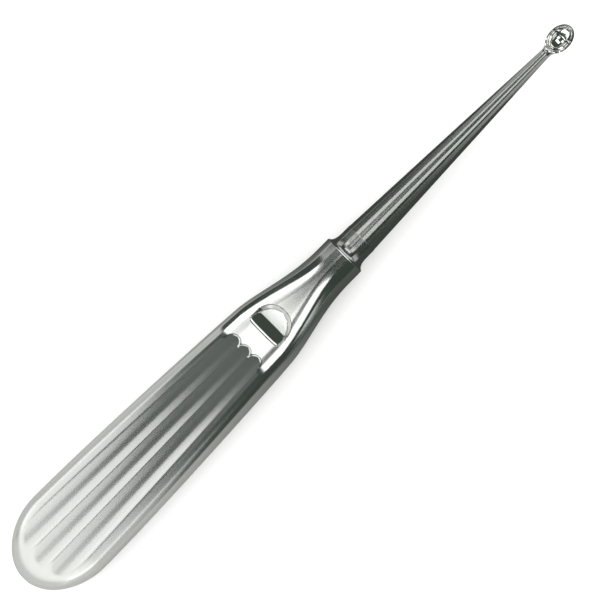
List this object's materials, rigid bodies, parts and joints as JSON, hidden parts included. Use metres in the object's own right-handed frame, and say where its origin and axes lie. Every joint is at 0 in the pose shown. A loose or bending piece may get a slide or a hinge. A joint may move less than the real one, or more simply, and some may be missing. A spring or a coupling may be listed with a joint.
{
  "type": "bone curette",
  "caption": "Hand curette for bone: flattened fluted steel handle with a thumb rest, a tapering turned shank and a small sharp oval cup.",
  "frame": {"origin": "middle of the tool's bounding box, at the height of the surface that it lies on", "axes": "+X along the tool towards the cup, +Y across it, +Z out of the front face, the way the cup opens"},
  "size_m": [0.1698, 0.0218, 0.013],
  "materials": {
    "satin_steel": "satin stainless steel, fine ground",
    "polished_steel": "polished stainless steel with fine turning marks"
  },
  "bodies": {
    "root": {"handle": "satin_steel", "shank": "polished_steel"}
  },
  "joints": []
}
